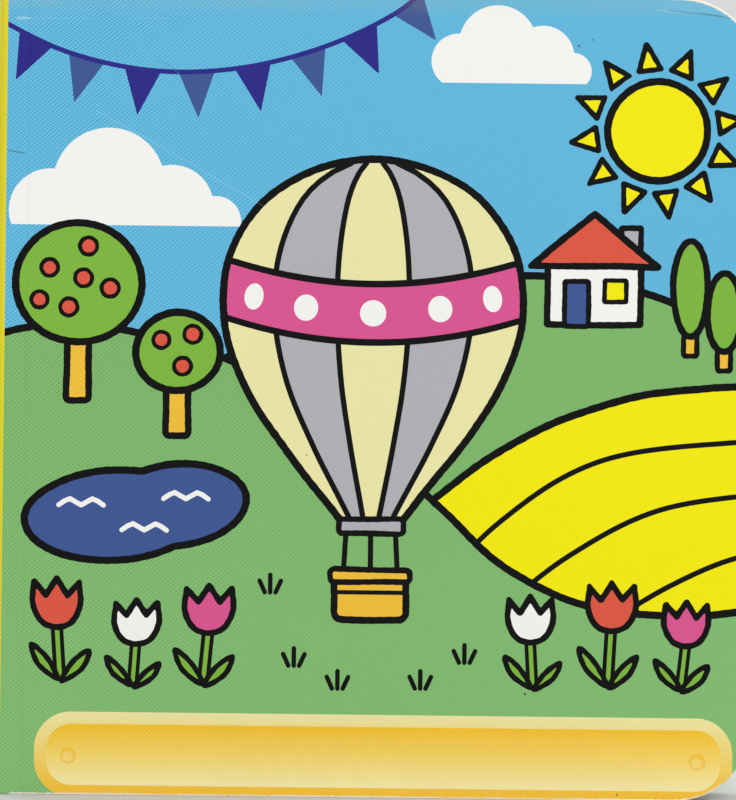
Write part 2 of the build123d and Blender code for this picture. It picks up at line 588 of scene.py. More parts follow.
class Shell:
    """Collects the faces of one piece with what their materials read."""

    def __init__(self):
        self.co, self.faces, self.slot, self.group = [], [], [], []
        self.ink, self.dots, self.wear, self.depth, self.uv = [], [], [], [], []

    def points(self, places):
        base = len(self.co)
        self.co += [tuple(p) for p in places]
        return base

    def face(self, corners, slot, group, ink, dots, wear, depth, uv):
        self.faces.append(tuple(corners))
        self.slot.append(slot)
        self.group.append(group)
        n = len(corners)
        self.ink += [tuple(c) for c in np.broadcast_to(ink, (n, 3))]
        self.dots += list(np.broadcast_to(dots, (n,)))
        self.wear += list(np.broadcast_to(wear, (n,)))
        self.depth += list(np.broadcast_to(depth, (n,)))
        self.uv += [tuple(c) for c in uv]

    def make(self, name, materials, flip=False):
        me = bpy.data.meshes.new(name)
        faces = [f[::-1] for f in self.faces] if flip else self.faces
        me.from_pydata([tuple(c * MM for c in p) for p in self.co], [], faces)
        order = np.arange(len(self.ink))
        if flip:
            start = 0
            for f in self.faces:
                order[start : start + len(f)] = order[start : start + len(f)][::-1]
                start += len(f)
        for m in materials:
            me.materials.append(m)
        me.polygons.foreach_set("material_index", np.array(self.slot, np.int32))
        ink = me.attributes.new("ink", "FLOAT_VECTOR", "CORNER")
        ink.data.foreach_set("vector", albedo(np.array(self.ink))[order].astype(np.float32).ravel())
        for label, values in (("dots", self.dots), ("wear", self.wear), ("depth", self.depth)):
            a = me.attributes.new(label, "FLOAT", "CORNER")
            a.data.foreach_set("value", np.array(values, np.float32)[order])
        layer = me.uv_layers.new(name="OFBake", do_init=False)
        layer.uv.foreach_set("vector", np.array(self.uv, np.float32)[order].ravel())
        me.update()
        # one smooth normal per point and group of faces, so that flat faces stay flat
        n_faces = len(me.polygons)
        normal = np.empty(n_faces * 3, np.float32)
        area = np.empty(n_faces, np.float32)
        me.polygons.foreach_get("normal", normal)
        me.polygons.foreach_get("area", area)
        normal = normal.reshape(-1, 3) * area[:, None]
        total = np.array([len(f) for f in self.faces])
        face_of = np.repeat(np.arange(n_faces), total)
        vert = np.empty(len(me.loops), np.int32)
        me.loops.foreach_get("vertex_index", vert)
        key = vert.astype(np.int64) * 64 + np.array(self.group)[face_of]
        _, at = np.unique(key, return_inverse=True)
        at = at.ravel()
        summed = np.zeros((at.max() + 1, 3))
        np.add.at(summed, at, normal[face_of])
        summed /= np.maximum(np.linalg.norm(summed, axis=1, keepdims=True), 1e-20)
        me.polygons.foreach_set("use_smooth", np.ones(n_faces, bool))
        me.normals_split_custom_set(summed[at].tolist())
        me.update()
        ob = bpy.data.objects.new(name, me)
        bpy.context.scene.collection.objects.link(ob)
        return ob


EDGE_INK = (226, 221, 208)


def board(shell, outline, thick, levels, place, outer, inner, uv_outer, uv_inner, uv_rim,
          wear_at=None, wrap_spine=False, print_depth=0.2, forced=None, bend=None, group0=0):
    """Adds a closed board: printed outer face, rounded rim, cut edge and printed inner face.

    place(u, v, d) gives the row frame in mm; bend(u, v) moves the outer face in by a depth.
    """
    wear_at = wear_at or (lambda u, v: 0.0)
    bend = bend or (lambda u, v: 0.0)
    p, tris, rgb, dots = partition(outline.points(levels[0]), outer.fields, forced or ())
    base = shell.points([place(u, v, levels[0] + bend(u, v)) for u, v in p])
    w = np.array([wear_at(u, v) for u, v in p])
    for k, tri in enumerate(tris.tolist()):
        shell.face([base + i for i in tri], 0, group0, rgb[k], dots[k], w[tri], 0.0,
                   [uv_outer(*p[i]) for i in tri])
    loop, owner = border(tris)
    where = [outline.find(*p[i], levels[0]) for i in loop]
    n = len(loop)
    # the colour at each border point, taken from the triangle on that stretch of border
    tint = []
    for i in range(n):
        tri = tris[owner[i]].tolist()
        a, b = loop[i], loop[(i + 1) % n]
        tint.append((rgb[owner[i]][tri.index(a)], rgb[owner[i]][tri.index(b)]))
    rings = [[base + i for i in loop]]
    for d in levels[1:-1]:
        flat = [outline.at(s, t, d) for s, t in where]
        b = shell.points([place(u, v, d + bend(u, v) * (1 - d / thick)) for u, v in flat])
        rings.append(list(range(b, b + n)))
    run = [0.0]
    ends = [np.array(outline.at(s, t, 0.5 * thick)) for s, t in where]
    for i in range(n):
        run.append(run[-1] + float(np.hypot(*(ends[(i + 1) % n] - ends[i]))))
    for k in range(len(rings) - 1):
        d0, d1 = levels[k], levels[k + 1]
        for i in range(n):
            j = (i + 1) % n
            s0, s1 = where[i][0], where[j][0]
            mid = outline.at(*where[i], d0), outline.at(*where[j], d0)
            spine_side = s0 == 6 and (s1 == 6 or s1 in (0, 7))
            printed = d1 <= print_depth + 1e-6 or (wrap_spine and spine_side)
            corners = [rings[k][i], rings[k][j], rings[k + 1][j], rings[k + 1][i]][::-1]
            deep = np.array([d0, d0, d1, d1])[::-1] / thick
            uv = [uv_rim(run[i + 1 if e else i], d, run[i]) for e, d in ((0, d0), (1, d0), (1, d1), (0, d1))][::-1]
            ca, cb = tint[i]
            if printed:
                worn = [wear_at(*m) for m in mid]
                wr = np.array([worn[0], worn[1], worn[1], worn[0]])[::-1]
                if spine_side:
                    wr = wr * 0.0
                shell.face(corners, 0, group0 + 1, np.array([ca, cb, cb, ca])[::-1], 0.0, wr, deep, uv)
            else:
                shell.face(corners, 1, group0 + 1 if spine_side else group0 + 2, EDGE_INK, 0.0, 0.0, deep, uv)
    # inner face, and the narrow strip that joins it to the last ring
    q, tri2, rgb2, dots2 = partition(outline.points(thick), inner.fields)
    ib = shell.points([place(u, v, thick) for u, v in q])
    for k, tri in enumerate(tri2.tolist()):
        shell.face([ib + i for i in tri][::-1], 0, group0 + 3, rgb2[k][::-1], dots2[k], 0.0, 1.0,
                   [uv_inner(*q[i]) for i in tri][::-1])
    loop2, _ = border(tri2)
    where2 = [outline.find(*q[i], thick) for i in loop2]
    order = {s: i for i, s in enumerate(outline.sides())}
    def ordered(places, ids):
        s = np.array([order[a] + b for a, b in places])
        s = np.where(s > len(order) - 1e-6, 0.0, s)
        k = int(s.argmin())
        return np.roll(s, -k), list(np.roll(ids, -k)), k
    sa, ida, first = ordered(where, rings[-1])
    sb, idb, _ = ordered(where2, [ib + i for i in loop2])
    # how far along the edge each point of the two loops lies
    along = [(r - run[first]) % run[-1] for r in run[first:-1] + run[:first]] + [run[-1]]
    along2 = list(np.interp(sb, np.append(sa, len(order)), along)) + [run[-1]]
    i = j = 0
    last = levels[-2]
    while i < len(ida) or j < len(idb):
        na = sa[i + 1] if i + 1 < len(ida) else (len(order) if i < len(ida) else 1e9)
        nb = sb[j + 1] if j + 1 < len(idb) else (len(order) if j < len(idb) else 1e9)
        a, b = ida[i % len(ida)], idb[j % len(idb)]
        if na <= nb:
            c = ida[(i + 1) % len(ida)]
            tri, dd = [a, b, c], np.array([last, thick, last]) / thick
            at = along[i], along2[j], along[i + 1]
            i += 1
        else:
            c = idb[(j + 1) % len(idb)]
            tri, dd = [a, b, c], np.array([last, thick, thick]) / thick
            at = along[i], along2[j], along2[j + 1]
            j += 1
        shell.face(tri, 1, group0 + 2, EDGE_INK, 0.0, 0.0, dd,
                   [uv_rim(r, d * thick, min(at)) for r, d in zip(at, dd)])


# ---------------------------------------------------------------- prints
def tulip(P, x, y, h, ink, lean=0.0, s=1.0):
    stem = [(x, y + 2.2), (x + lean * 0.4, y + h * 0.5), (x + lean, y + h)]
    P.draw(stem, 2.6 * s)
    P.draw(stem, 0.9 * s, "lime")
    for k, pts in ((-1, (1.2, 0.32, 0.62, 0.42)), (1, (0.8, 0.25, 0.52, 0.36))):
        P.lined(blob([
            (x + k * 0.3, y + pts[0]), (x + k * 4.5 * s, y + h * pts[1]),
            (x + k * 5.9 * s, y + h * pts[2]), (x + k * 2.7 * s, y + h * pts[3]),
        ]), "lime", 1.1)
    cx, cy = x + lean, y + h
    cup = smooth([
        (cx - 4.6 * s, cy + 7.6 * s), (cx - 4.9 * s, cy + 3.0 * s), (cx - 3.0 * s, cy - 0.6 * s),
        (cx, cy - 1.6 * s), (cx + 3.0 * s, cy - 0.6 * s), (cx + 4.9 * s, cy + 3.0 * s),
        (cx + 4.6 * s, cy + 7.6 * s),
    ], False, 0.7).tolist()
    P.lined(poly(cup + [(cx + 2.2 * s, cy + 4.9 * s), (cx, cy + 8.3 * s), (cx - 2.2 * s, cy + 4.9 * s)]), ink, 1.25)


def tree(P, x, y, r, h, apples):
    P.lined(rbox(x, y + h / 2, 2.3, h / 2 + 2, 0.8), "gold", 1.4)
    P.lined(oval(x, y + h + r * 0.78, r, r * 0.94), "lime")
    for ax, ay in apples:
        P.lined(disc(x + ax, y + h + r * 0.78 + ay, 1.75), "red", 0.85)


def tuft(P, x, y):
    P.draw([(x - 2.2, y + 2.4), (x - 1.1, y)], 0.95, curved=False)
    P.draw([(x, y + 3.6), (x, y)], 0.95, curved=False)
    P.draw([(x + 2.2, y + 2.4), (x + 1.1, y)], 0.95, curved=False)


def cloud(P, lobes, base):
    low = rbox(lobes[0][0], base + 50, 200, 50)
    x0, x1 = lobes[0][0], lobes[-1][0]
    foot = rbox((x0 + x1) / 2, base + 1.5, (x1 - x0) / 2, 2.5, 0.0)
    P.add(meet(join(foot, *[disc(*l) for l in lobes]), low), "white")


def under(points):
    """Everything below a hill line."""
    line = smooth(points, False, 2.0)
    return poly(line.tolist() + [(line[-1][0] + 4, -20), (line[0][0] - 4, -20)])


def front_print():
    P = Print()
    P.add(rbox(77, 82, 120, 120), "sky")
    cloud(P, [(11, 120, 8.5), (23, 125.5, 11.5), (36, 121, 8.5), (45, 118, 5.2)], 117)
    cloud(P, [(94.5, 151.5, 5.6), (102.5, 155, 8.0), (111.8, 152.5, 6.4), (118, 149.6, 3.8)], 147)
    # sun
    sx, sy = 135.5, 137.5
    for k in range(12):
        a = math.radians(30 * k + 8)
        p = np.array([sx, sy])
        e, n = np.array([math.cos(a), math.sin(a)]), np.array([-math.sin(a), math.cos(a)])
        P.lined(poly([p + 12.6 * e - 2.3 * n, p + 17.8 * e, p + 12.6 * e + 2.3 * n]), "yellow", 1.1)
    P.lined(disc(sx, sy, 10.2), "yellow")
    # garland of pennants
    rope = smooth([(-2, 160), (14, 152.5), (32, 148.8), (50, 149.6), (68, 154.5), (82, 161.5), (88, 166.5)], False, 0.5)
    for k in range(8):
        i = int(len(rope) * (0.075 + 0.118 * k))
        a, b = rope[i], rope[min(i + 15, len(rope) - 1)]
        t = (b - a) / np.linalg.norm(b - a)
        P.add(poly([a, b, (a + b) / 2 + 9.6 * np.array([t[1], -t[0]])]), "violet" if k % 2 else "deep")
    P.draw(rope[::3], 1.0, "deep", curved=False)
    # far hill with a cottage and poplars
    P.lined(under([(-6, 72), (22, 80), (58, 94), (98, 107), (128, 105.5), (162, 93)]), "grass")
    P.lined(rbox(130.3, 112.5, 2.0, 5, 0.2), "grey", 1.2)
    P.lined(rbox(122.8, 104, 9.6, 6.4, 0.3), "white", 1.4)
    P.lined(poly([(109.8, 109.6), (122.8, 120.4), (135.8, 109.6)]), "red", 1.4)
    P.lined(rbox(119.2, 101.9, 2.4, 4.6, 0.3), "violet", 1.1)
    P.lined(rbox(127.2, 104.6, 2.2, 2.2, 0.2), "yellow", 1.0)
    for x, y, h in ((142.6, 94.5, 9.8), (149.6, 91.5, 8)):
        P.lined(rbox(x, y, 1.3, 3, 0.3), "gold", 1.1)
        P.lined(oval(x, y + h + 1, 3.5, h), "lime", 1.4)
    # field with furrows
    P.lined(under([(66, 40), (86, 58), (108, 74), (132, 83), (164, 86)]), "yellow")
    for line in (
        [(88, 40), (104, 57), (124, 69.5), (164, 75)], [(104, 39), (118, 50), (136, 59.5), (164, 64.2)],
        [(127, 37), (139, 44.2), (151, 49.6), (164, 52.6)],
    ):
        P.draw(line, 1.1)
    # near hill with trees and a pond
    P.lined(under([(-8, 92), (12, 96.5), (34, 94), (56, 86), (76, 74), (92, 59.5), (106, 47), (122, 40), (142, 38), (166, 41)]), fading(8, 90, (133, 188, 116), (126, 180, 107), 0.95))
    tree(P, 17, 83, 13.0, 12, [(-6, 3), (2, 7.5), (6.5, -1), (-2, -5), (-8, -3.5), (1, 1)])
    tree(P, 37.5, 76, 8.6, 8.5, [(-3.4, 2.4), (3.0, 3.6), (1.0, -3.0)])
    P.lined(join(oval(25, 57.5, 18.6, 9.2, 4), oval(37, 59.6, 15.0, 8.4, 8)), "violet")
    for x, y in ((18, 59.5), (31, 54.5), (39.5, 61)):
        P.draw([(x - 4.6, y), (x - 2.3, y + 1.3), (x, y), (x + 2.3, y + 1.3), (x + 4.6, y)], 1.0, "white")
    # balloon
    bx = 77.5
    edge = [(11.5, 129.0), (22.2, 122.8), (29.2, 112), (30.8, 100), (27.0, 86), (18.5, 72.5), (9.5, 61), (5.6, 56)]
    half = smooth([(-a, b) for a, b in edge[::-1]] + [(0, 131.2)] + edge, False, 1.1)
    half = half[np.nonzero(half[:, 0] > 0.4)[0]]
    env = poly([(bx, 131.2)] + [(bx + a, b) for a, b in half] + [(bx - a, b) for a, b in half[::-1]])
    wide = lambda y: np.maximum(np.interp(y, half[::-1, 1], half[::-1, 0]), 0.5)
    for dx in (-1, 0, 1):
        P.draw([(bx + dx * 5.0, 56), (bx + dx * 5.6, 45)], 1.1, curved=False)
    P.lined(env, "cream")
    inner = grow(hand(env), -0.775)
    for k in (-1, 1):
        lo, hi = sorted((k * 0.24, k * 0.66))
        gore = lambda x, y, lo=lo, hi=hi: np.maximum(lo * wide(y) - x + bx, x - bx - hi * wide(y))
        P.add(meet(inner, (gore, env[1])), "grey")
    sag = lambda x, y: y - 99.5 - 5.0 * ((x - bx) / 30.8) ** 2
    band = lambda g: (lambda x, y: np.abs(sag(x, y)) - 6.0 - g, (bx - 34, 90, bx + 34, 114))
    for k in (-0.66, -0.24, 0.24, 0.66):
        ys = np.linspace(56, 130.4, 40)
        P.add(meet(inner, stroke([(bx + k * wide(y), y) for y in ys], 1.15, curved=False)), "black")
    P.add(meet(inner, band(0.7)), "black")
    P.add(meet(inner, band(-0.7)), "pink")
    for k in (-0.8, -0.45, 0.0, 0.45, 0.8):
        P.add(meet(inner, oval(bx + k * 30.6, 99.5 + 5 * k * k, 2.7 * math.sqrt(1 - k * k * 0.75), 2.7, 10 * k)), "white")
    P.lined(rbox(bx, 55.8, 6.6, 1.5, 0.8), "grey", 1.2)
    P.lined(rbox(bx, 41.2, 7.4, 4.6, 1.6), "gold", 1.45)
    P.draw([(bx - 6.6, 42.2), (bx + 6.6, 42.2)], 0.9, curved=False)
    P.lined(rbox(bx, 45.6, 8.2, 1.3, 0.9), "gold", 1.2)
    # tulips and grass
    tulip(P, 14, 22.5, 13.5, "red", -0.8)
    tulip(P, 29, 21.5, 11.0, "white", 0.6, 0.92)
    tulip(P, 43.5, 22.0, 13.0, "pink", 1.0)
    tulip(P, 111, 21.8, 12.0, "white", -0.6, 0.95)
    tulip(P, 126.5, 22.4, 14.0, "red", 0.6)
    tulip(P, 141.5, 21.8, 11.5, "pink", 1.0, 0.92)
    for x, y in ((62, 27), (97, 28), (88, 22.6), (57, 42), (71, 22.4)):
        tuft(P, x, y)
    # plain plaque
    # the dot screen shows in its deeper tones and is lost in the pale ones
    rim, ink = rbox(80.55, 8.4, 71.65, 8.7, 7.5), fading(1, 17, (246, 194, 63), (238, 229, 166))
    for top, dots in ((20, 0.25), (12, 0.5), (6.5, 0.75)):
        P.add(meet(rim, rbox(80, top - 30, 100, 30)), ink, screen=dots)
    field, ink = rbox(80.55, 8.33, 69.2, 6.27, 5.2), fading(2.2, 14.5, (249, 235, 174), (246, 192, 46))
    for top, dots in ((20, 0.85), (9.4, 0.5), (6.0, 0.2)):
        P.add(meet(field, rbox(80, top - 30, 100, 30)), ink, screen=dots)
    for x in (15.9, 145.0):
        P.add(disc(x, 8.1, 1.72), fading(6.4, 9.8, (243, 203, 98), (245, 194, 62)))
        P.add(disc(x - 0.16, 7.92, 1.1), fading(6.4, 9.8, (246, 219, 126), (244, 207, 102)))
    # spine print that comes round the fold, cut a little out of true
    P.add(poly([(-98, -20), (1.84, -20), (1.952, 185), (-98, 185)]), "spine")
    # wear: scuffs, scratches and specks, and at the head fore-edge corner the painted shade and painted highlight of a
    # crease
    P.draw([(3.7, 159.3), (4.9, 159.42), (6.4, 159.25)], 0.34, (232, 236, 236), seen=0.45)
    P.draw([(4.2, 159.0), (5.4, 158.95)], 0.2, (232, 236, 236), seen=0.3)
    P.draw([(6.4, 159.3), (20, 159.4), (35, 159.6)], 0.2, (170, 208, 224), seen=0.3)
    P.draw([(32.2, 151.0), (35.0, 150.0), (37.1, 148.2)], 0.26, (70, 140, 180), seen=0.4)
    P.draw([(20, 140.6), (38, 130.8), (56, 120.5)], 0.2, (205, 222, 230), seen=0.22)
    P.draw([(2.1, 132.2), (4.0, 131.8), (5.7, 131.6)], 0.28, (60, 90, 100), seen=0.45)
    # painted shade: dark lines along the crease of the head fore-edge corner, on top of the corner bend in the geometry
    P.draw([(137.5, 162.3), (141.8, 161.9), (146, 161.5), (150.6, 160.8)], 0.4, (60, 66, 72), seen=0.17)
    P.draw([(143.8, 161.72), (146, 161.5), (148.4, 161.16)], 0.2, (60, 66, 72), seen=0.3)
    # painted highlight: a pale line at the left end of that crease
    P.draw([(134.6, 162.4), (137.4, 162.12), (140.2, 161.8)], 0.26, (240, 243, 244), seen=0.22)
    for x, y, r in ((119.1, 154.8, 0.26), (122.0, 156.1, 0.2), (109.5, 21.7, 0.28), (128.6, 1.2, 0.24), (64.2, 70.3, 0.2)):
        P.add(disc(x, y, r), (70, 62, 66), seen=0.75)
    return P


INSIDE = 0.3  # the dot screen is fainter on the inside


def plain_print(low, high, line, clouds=(), dots=INSIDE):
    """Sky over a hill, for the faces that the photograph doesn't show."""
    P = Print()
    P.add(rbox(77, 82, 160, 160), high)
    for c in clouds:
        cloud(P, *c)
    P.lined(under(line), low)
    P.fields = [(*field[:-1], dots * field[-1]) for field in P.fields]
    return P


def back_print():
    P = plain_print("grass", "sky", [(-6, 84), (30, 92), (74, 80), (112, 62), (166, 58)],
                    [([(88, 128, 7), (98, 133, 9.5), (110, 130, 8), (119, 127, 5)], 124)], dots=1.0)
    P.add(rbox(-98.02, 80, 100, 200), "spine")
    return P


def single(ink):
    P = Print()
    P.add(rbox(77, 82, 160, 160), ink)
    return P


# ---------------------------------------------------------------- materials
def nodes_of(name):
    m = bpy.data.materials.new(name)
    m.use_nodes = True
    nt = m.node_tree
    return m, nt, nt.nodes["Principled BSDF"]


def add(nt, kind, **values):
    n = nt.nodes.new(kind)
    for k, v in values.items():
        if k.startswith("in_"):
            n.inputs[int(k[3:])].default_value = v
        else:
            setattr(n, k, v)
    return n


def math_node(nt, op, a, b=None, clamp=False):
    n = nt.nodes.new("ShaderNodeMath")
    n.operation = op
    n.use_clamp = clamp
    for i, x in enumerate((a, b)):
        if x is None:
            continue
        if isinstance(x, (int, float)):
            n.inputs[i].default_value = x
        else:
            nt.links.new(x, n.inputs[i])
    return n.outputs[0]


def attribute(nt, name, output="Fac"):
    n = nt.nodes.new("ShaderNodeAttribute")
    n.attribute_type = "GEOMETRY"
    n.attribute_name = name
    return n.outputs[output]


def noise(nt, vector, scale, detail=2.0, rough=0.5):
    n = add(nt, "ShaderNodeTexNoise")
    n.inputs["Scale"].default_value = scale
    n.inputs["Detail"].default_value = detail
    n.inputs["Roughness"].default_value = rough
    nt.links.new(vector, n.inputs["Vector"])
    return n.outputs["Fac"]


def ramp(nt, value, lo, hi, to_lo=0.0, to_hi=1.0):
    n = add(nt, "ShaderNodeMapRange", interpolation_type="SMOOTHSTEP")
    nt.links.new(value, n.inputs["Value"])
    n.inputs["From Min"].default_value = lo
    n.inputs["From Max"].default_value = hi
    n.inputs["To Min"].default_value = to_lo
    n.inputs["To Max"].default_value = to_hi
    return n.outputs["Result"]


def mix(nt, fac, a, b, kind="MIX"):
    n = add(nt, "ShaderNodeMix", data_type="RGBA", blend_type=kind)
    if isinstance(fac, (int, float)):
        n.inputs[0].default_value = fac
    else:
        nt.links.new(fac, n.inputs[0])
    for i, x in ((6, a), (7, b)):
        if isinstance(x, tuple):
            n.inputs[i].default_value = (*x, 1.0)
        else:
            nt.links.new(x, n.inputs[i])
    return n.outputs[2]


def scaled(nt, colour, factor):
    n = add(nt, "ShaderNodeVectorMath", operation="SCALE")
    nt.links.new(colour, n.inputs[0])
    nt.links.new(factor, n.inputs["Scale"])
    return n.outputs[0]


def print_material(name, gloss=0.3, soil_head=1.0, coat=0.06):
    """Offset print on board under a gloss film: dot screen, tone, worn rim and soiled head."""
    m, nt, bsdf = nodes_of(name)
    where = add(nt, "ShaderNodeTexCoord").outputs["Object"]
    ink = attribute(nt, "ink", "Vector")
    # dot screen of the inks, and the weaker bands where it beats against a second screen
    def bands(deg, way, pitch):
        turn = add(nt, "ShaderNodeMapping", vector_type="POINT")
        turn.inputs["Rotation"].default_value = (0.0, math.radians(deg), 0.0)
        nt.links.new(where, turn.inputs["Vector"])
        w = add(nt, "ShaderNodeTexWave", wave_type="BANDS", bands_direction=way, wave_profile="SIN")
        w.inputs["Scale"].default_value = 2 * math.pi / (20 * pitch)
        w.inputs["Distortion"].default_value = 0.0
        nt.links.new(turn.outputs[0], w.inputs["Vector"])
        return w.outputs["Fac"]

    dot = math_node(nt, "SUBTRACT", math_node(nt, "MULTIPLY", bands(-29.5, "X", 0.0005), bands(-29.5, "Z", 0.0005)), 0.25)
    beat = math_node(nt, "MULTIPLY", math_node(nt, "SUBTRACT", bands(-49.4, "X", 0.00067), 0.5), 0.35)
    part = add(nt, "ShaderNodeSeparateXYZ")
    nt.links.new(where, part.inputs[0])
    # the screen shows most towards the spine
    strength = ramp(nt, part.outputs["X"], -0.085, 0.06, 0.40, 0.09)
    patchy = ramp(nt, noise(nt, where, 26.0, 2.0), 0.25, 0.8, 0.7, 1.2)
    seen = math_node(nt, "MULTIPLY", math_node(nt, "MULTIPLY", strength, patchy), attribute(nt, "dots"))
    grain = math_node(nt, "MULTIPLY", math_node(nt, "SUBTRACT", noise(nt, where, 2600.0, 2.0, 0.7), 0.5), 0.11)
    tone = math_node(nt, "MULTIPLY", math_node(nt, "SUBTRACT", noise(nt, where, 14.0, 3.0), 0.5), 0.06)
    even = scaled(nt, ink, math_node(nt, "ADD", math_node(nt, "ADD", grain, tone), 1.0))
    # light dots lean to the paper and dark ones to the full ink, by about the same step in each colour
    lift = add(nt, "ShaderNodeGamma")
    nt.links.new(ink, lift.inputs["Color"])
    lift.inputs["Gamma"].default_value = 0.58
    spots = scaled(nt, lift.outputs[0], math_node(nt, "MULTIPLY", math_node(nt, "ADD", dot, beat), seen))
    both = add(nt, "ShaderNodeVectorMath", operation="ADD")
    nt.links.new(even, both.inputs[0])
    nt.links.new(spots, both.inputs[1])
    most = add(nt, "ShaderNodeVectorMath", operation="MINIMUM")
    nt.links.new(both.outputs[0], most.inputs[0])
    most.inputs[1].default_value = (0.93, 0.93, 0.93)
    colour = most.outputs[0]
    # handling marks towards the head
    head = ramp(nt, part.outputs["Z"], HEIGHT * MM - 0.0052, HEIGHT * MM - 0.001, 0.0, 0.095 * soil_head)
    smudge = math_node(nt, "MULTIPLY", head, ramp(nt, noise(nt, where, 55.0, 4.0, 0.65), 0.3, 0.75, 0.55, 1.2))
    colour = mix(nt, smudge, colour, tuple(albedo((217, 192, 100))))
    # rim rubbed down to the paper
    rub = math_node(nt, "SUBTRACT", math_node(nt, "MULTIPLY", attribute(nt, "wear"), 1.35), noise(nt, where, 1500.0, 4.0, 0.75))
    bare = ramp(nt, rub, -0.10, 0.22)
    colour = mix(nt, bare, colour, tuple(albedo((238, 231, 214))))
    nt.links.new(colour, bsdf.inputs["Base Color"])
    sheen = math_node(nt, "MULTIPLY", math_node(nt, "SUBTRACT", noise(nt, where, 120.0, 3.0), 0.5), 0.14)
    rough = math_node(nt, "ADD", math_node(nt, "ADD", sheen, gloss), math_node(nt, "MULTIPLY", bare, 0.4))
    nt.links.new(rough, bsdf.inputs["Roughness"])
    bump = add(nt, "ShaderNodeBump")
    bump.inputs["Strength"].default_value = 0.35
    bump.inputs["Distance"].default_value = 0.00006
    peel = math_node(nt, "ADD", noise(nt, where, 420.0, 2.0), math_node(nt, "MULTIPLY", noise(nt, where, 60.0, 2.0), 3.0))
    nt.links.new(peel, bump.inputs["Height"])
    nt.links.new(bump.outputs[0], bsdf.inputs["Normal"])
    bsdf.inputs["Specular IOR Level"].default_value = 0.12
    bsdf.inputs["Coat Weight"].default_value = coat
    bsdf.inputs["Coat Roughness"].default_value = 0.14
    return m


def edge_material(name):
    """Cut edge of the board: two plies with a glue line, fibres along the cut, grubby from handling."""
    m, nt, bsdf = nodes_of(name)
    where = add(nt, "ShaderNodeTexCoord").outputs["Object"]
    deep = attribute(nt, "depth")
    long = add(nt, "ShaderNodeMapping", vector_type="POINT")
    long.inputs["Scale"].default_value = (1.0, 9.0, 1.0)
    nt.links.new(where, long.inputs["Vector"])
    fibre = noise(nt, long.outputs[0], 900.0, 5.0, 0.7)
    colour = mix(nt, ramp(nt, fibre, 0.25, 0.78), tuple(albedo((205, 197, 180))), tuple(albedo((238, 234, 224))))
    mid = math_node(nt, "ABSOLUTE", math_node(nt, "SUBTRACT", deep, 0.5))
    glue = ramp(nt, mid, 0.015, 0.05, 0.55, 0.0)
    colour = mix(nt, math_node(nt, "MULTIPLY", glue, ramp(nt, noise(nt, where, 300.0, 3.0), 0.3, 0.7, 0.4, 1.0)), colour, tuple(albedo((168, 158, 138))))
    skin = ramp(nt, mid, 0.42, 0.49, 0.0, 0.75)
    colour = mix(nt, skin, colour, tuple(albedo((244, 243, 238))))
    grime = ramp(nt, noise(nt, where, 70.0, 5.0, 0.65), 0.5, 0.85, 0.0, 0.55)
    colour = mix(nt, grime, colour, (0.62, 0.55, 0.45), "MULTIPLY")
    nt.links.new(colour, bsdf.inputs["Base Color"])
    nt.links.new(ramp(nt, fibre, 0.2, 0.8, 0.72, 0.95), bsdf.inputs["Roughness"])
    bump = add(nt, "ShaderNodeBump")
    bump.inputs["Strength"].default_value = 0.6
    bump.inputs["Distance"].default_value = 0.0001
    nt.links.new(fibre, bump.inputs["Height"])
    nt.links.new(bump.outputs[0], bsdf.inputs["Normal"])
    return m


STUDIO = (0.86, 0.87, 0.88)
STUDIO_LIGHT = 0.80


def floor_material():
    """Pale sweep that fades into the light of the room far from the book."""
    m, nt, bsdf = nodes_of("studio_floor")
    where = add(nt, "ShaderNodeTexCoord").outputs["Object"]
    far = add(nt, "ShaderNodeVectorMath", operation="LENGTH")
    nt.links.new(where, far.inputs[0])
    fade = ramp(nt, far.outputs["Value"], 0.7, 2.6)
    soft = noise(nt, where, 3.0, 2.0)
    colour = mix(nt, soft, (0.57, 0.57, 0.57), (0.61, 0.61, 0.605))
    colour = mix(nt, fade, colour, (0.0, 0.0, 0.0))
    nt.links.new(colour, bsdf.inputs["Base Color"])
    bsdf.inputs["Emission Color"].default_value = (*STUDIO, 1.0)
    nt.links.new(math_node(nt, "MULTIPLY", fade, STUDIO_LIGHT), bsdf.inputs["Emission Strength"])
    bsdf.inputs["Roughness"].default_value = 0.8
    bsdf.inputs["Specular IOR Level"].default_value = 0.0
    return m


print_mat = print_material("gloss_print")
page_mat = print_material("page_print", gloss=0.42, soil_head=0.35, coat=0.05)
edge_mat = edge_material("cut_board")

# ---------------------------------------------------------------- covers
LEVELS = [0.0, 0.02, 0.075, 0.15, 0.25, 0.5, 0.9, 1.35, 1.8, BOARD - 0.16, BOARD - 0.05, BOARD]


def rim_inset(d):
    return quarter(RIM, d) if d < RIM else quarter(0.16, BOARD - d)


def fold_inset(d):
    return quarter(FOLD, d) if d < FOLD else quarter(0.16, BOARD - d)


def wave(s, seed):
    return (math.sin(0.31 * s + seed) + math.sin(0.83 * s + 2.1 * seed) + math.sin(0.117 * s - seed)) / 3


BAND = 0.55  # breadth of the rubbed rim on the face


def rim_wear(amount, corner_head=0.0, corner_tail=0.0, tail=0.0):
    def wear(u, v):
        du, dv = WIDTH - u, min(v, HEIGHT - v)
        edge = min(du, dv)
        cu, cv = CORNER - du, CORNER - dv
        at_corner = cu > 0 and cv > 0
        if at_corner:
            edge = CORNER - math.hypot(cu, cv)
        k = max(0.0, 1.0 - max(edge - 0.25, 0.0) / BAND)
        if k <= 0 or u < 2.2:
            return 0.0
        a = amount + 0.12 * wave(u + v, 1.0)
        if at_corner:
            a += corner_head if v > HEIGHT / 2 else corner_tail
        elif v < 2:
            a += tail
        return max(0.0, k * a)

    return wear


def inset_line(extra):
    """A line just inside the rim, so that the rubbed band has edges of its own."""
    o = Outline(WIDTH, HEIGHT, (CORNER, CORNER, 0, 0), lambda d: FOLD + 0.6, lambda d: RIM + extra)
    p = o.points(0.0)
    return np.vstack([p, p[:1]])


S1, S2 = 0.00468, 0.00166  # map units per mm for the outer and inner face


def map_outer(u, v):
    return 0.004 + u * S1, 0.004 + v * S1


